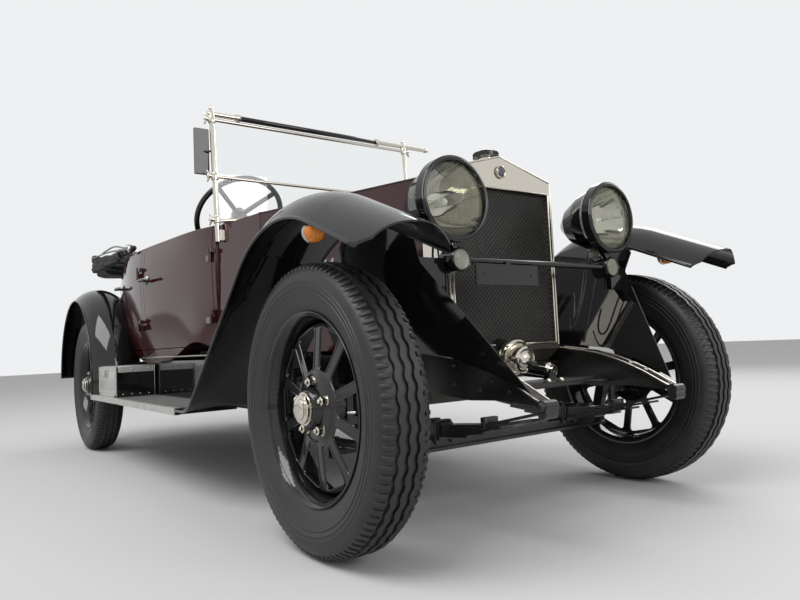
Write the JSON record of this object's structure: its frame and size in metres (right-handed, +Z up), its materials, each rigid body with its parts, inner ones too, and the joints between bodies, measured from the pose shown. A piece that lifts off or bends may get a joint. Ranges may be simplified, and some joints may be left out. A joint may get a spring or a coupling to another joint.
{
  "type": "touring car",
  "caption": "Open 1920s touring car with gabled radiator, round lamps, spoked steel wheels, folded hood, running boards and hinged doors.",
  "frame": {"origin": "on the ground at mid-length and on the centreline", "axes": "+X towards the nose, +Y to the car's left, +Z up"},
  "size_m": [4.0369, 1.64, 1.6925],
  "materials": {
    "black_paint": "gloss",
    "chassis_black": "satin",
    "maroon_paint": "gloss",
    "nickel": "polished",
    "cast_iron": "matt",
    "tyre_rubber": "matt",
    "leather": "satin",
    "hood_cloth": "matt",
    "dash_wood": "varnished",
    "glass": "clear",
    "bare_aluminium": "brushed",
    "core_metal": "matt"
  },
  "bodies": {
    "car_body": {"chassis_frame": "chassis_black", "axles": "chassis_black", "leaf_springs": "chassis_black", "fuel_tank": "chassis_black", "engine_block": "cast_iron", "exhaust": "cast_iron", "radiator_shell": "nickel", "screen_frame": "nickel", "horn_and_crank": "nickel", "radiator_core": "core_metal", "filler_cap": "black_paint", "front_wings": "black_paint", "rear_wings": "black_paint", "running_boards": "black_paint", "lamp_set": "black_paint", "mirror": "black_paint", "steering_column": "black_paint", "bonnet_sides": "maroon_paint", "scuttle": "maroon_paint", "body_shell": "maroon_paint", "dashboard": "dash_wood", "seats": "leather", "folded_hood": "hood_cloth", "screen_glass": "glass", "lamp_lenses": "glass", "toolbox": "bare_aluminium"},
    "knuckle_left": {"knuckle_left": "chassis_black"},
    "knuckle_right": {"knuckle_right": "chassis_black"},
    "tie_rod": {"tie_rod": "chassis_black"},
    "wheel_front_left": {"wheel_fl": "black_paint", "tyre_fl": "tyre_rubber"},
    "wheel_front_right": {"wheel_fr": "black_paint", "tyre_fr": "tyre_rubber"},
    "wheel_rear_left": {"wheel_rl": "black_paint", "tyre_rl": "tyre_rubber"},
    "wheel_rear_right": {"wheel_rr": "black_paint", "tyre_rr": "tyre_rubber"},
    "steering_wheel": {"steering_wheel": "black_paint"},
    "door_front_left": {"door_front_left": "maroon_paint"},
    "door_front_right": {"door_front_right": "maroon_paint"},
    "door_rear_left": {"door_rear_left": "maroon_paint"},
    "door_rear_right": {"door_rear_right": "maroon_paint"},
    "bonnet_top_left": {"bonnet_top_left": "maroon_paint"},
    "bonnet_top_right": {"bonnet_top_right": "maroon_paint"},
    "toolbox_door": {"toolbox_door": "bare_aluminium"}
  },
  "joints": [
    {"name": "steer_left", "type": "hinge", "parent": "car_body", "child": "knuckle_left", "pos_m": [1.5435, 0.585, 0.405], "axis": [0, 0, 1], "range_deg": [-28, 28]},
    {"name": "steer_right", "type": "hinge", "parent": "car_body", "child": "knuckle_right", "pos_m": [1.5435, -0.585, 0.405], "axis": [0, 0, 1], "range_deg": [-28, 28]},
    {"name": "tie_rod_pivot", "type": "hinge", "parent": "knuckle_left", "child": "tie_rod", "pos_m": [1.3935, 0.585, 0.267], "axis": [0, 0, 1], "range_deg": [-28, 28]},
    {"name": "spin_front_left", "type": "hinge", "parent": "knuckle_left", "child": "wheel_front_left", "pos_m": [1.5435, 0.693, 0.405], "axis": [0, 1, 0], "continuous": true},
    {"name": "spin_front_right", "type": "hinge", "parent": "knuckle_right", "child": "wheel_front_right", "pos_m": [1.5435, -0.693, 0.405], "axis": [0, 1, 0], "continuous": true},
    {"name": "spin_rear_left", "type": "hinge", "parent": "car_body", "child": "wheel_rear_left", "pos_m": [-1.4065, 0.693, 0.405], "axis": [0, 1, 0], "continuous": true},
    {"name": "spin_rear_right", "type": "hinge", "parent": "car_body", "child": "wheel_rear_right", "pos_m": [-1.4065, -0.693, 0.405], "axis": [0, 1, 0], "continuous": true},
    {"name": "turn_steering_wheel", "type": "hinge", "parent": "car_body", "child": "steering_wheel", "pos_m": [0.1035, -0.33, 1.24], "axis": [-0.7431, 0, 0.6691], "range_deg": [-280, 280]},
    {"name": "open_door_front_left", "type": "hinge", "parent": "car_body", "child": "door_front_left", "pos_m": [0.2915, 0.556, 0.87], "axis": [0, 0, -1], "range_deg": [0, 65]},
    {"name": "open_door_front_right", "type": "hinge", "parent": "car_body", "child": "door_front_right", "pos_m": [0.2915, -0.556, 0.87], "axis": [0, 0, 1], "range_deg": [0, 65]},
    {"name": "open_door_rear_left", "type": "hinge", "parent": "car_body", "child": "door_rear_left", "pos_m": [-0.4915, 0.668, 0.87], "axis": [0, 0, -1], "range_deg": [0, 65]},
    {"name": "open_door_rear_right", "type": "hinge", "parent": "car_body", "child": "door_rear_right", "pos_m": [-0.4915, -0.668, 0.87], "axis": [0, 0, 1], "range_deg": [0, 65]},
    {"name": "open_bonnet_left", "type": "hinge", "parent": "car_body", "child": "bonnet_top_left", "pos_m": [1.0635, 0, 1.19921], "axis": [1, 0, -0.0095], "range_deg": [0, 60]},
    {"name": "open_bonnet_right", "type": "hinge", "parent": "car_body", "child": "bonnet_top_right", "pos_m": [1.0635, 0, 1.19921], "axis": [-1, 0, 0.0095], "range_deg": [0, 60]},
    {"name": "open_toolbox", "type": "hinge", "parent": "car_body", "child": "toolbox_door", "pos_m": [-0.6535, -0.795, 0.368], "axis": [1, 0, 0], "range_deg": [0, 90]}
  ],
  "couplings": [
    {"joint": "steer_right", "follows": "steer_left", "ratio": 1},
    {"joint": "tie_rod_pivot", "follows": "steer_left", "ratio": -1},
    {"joint": "turn_steering_wheel", "follows": "steer_left", "ratio": 10}
  ]
}
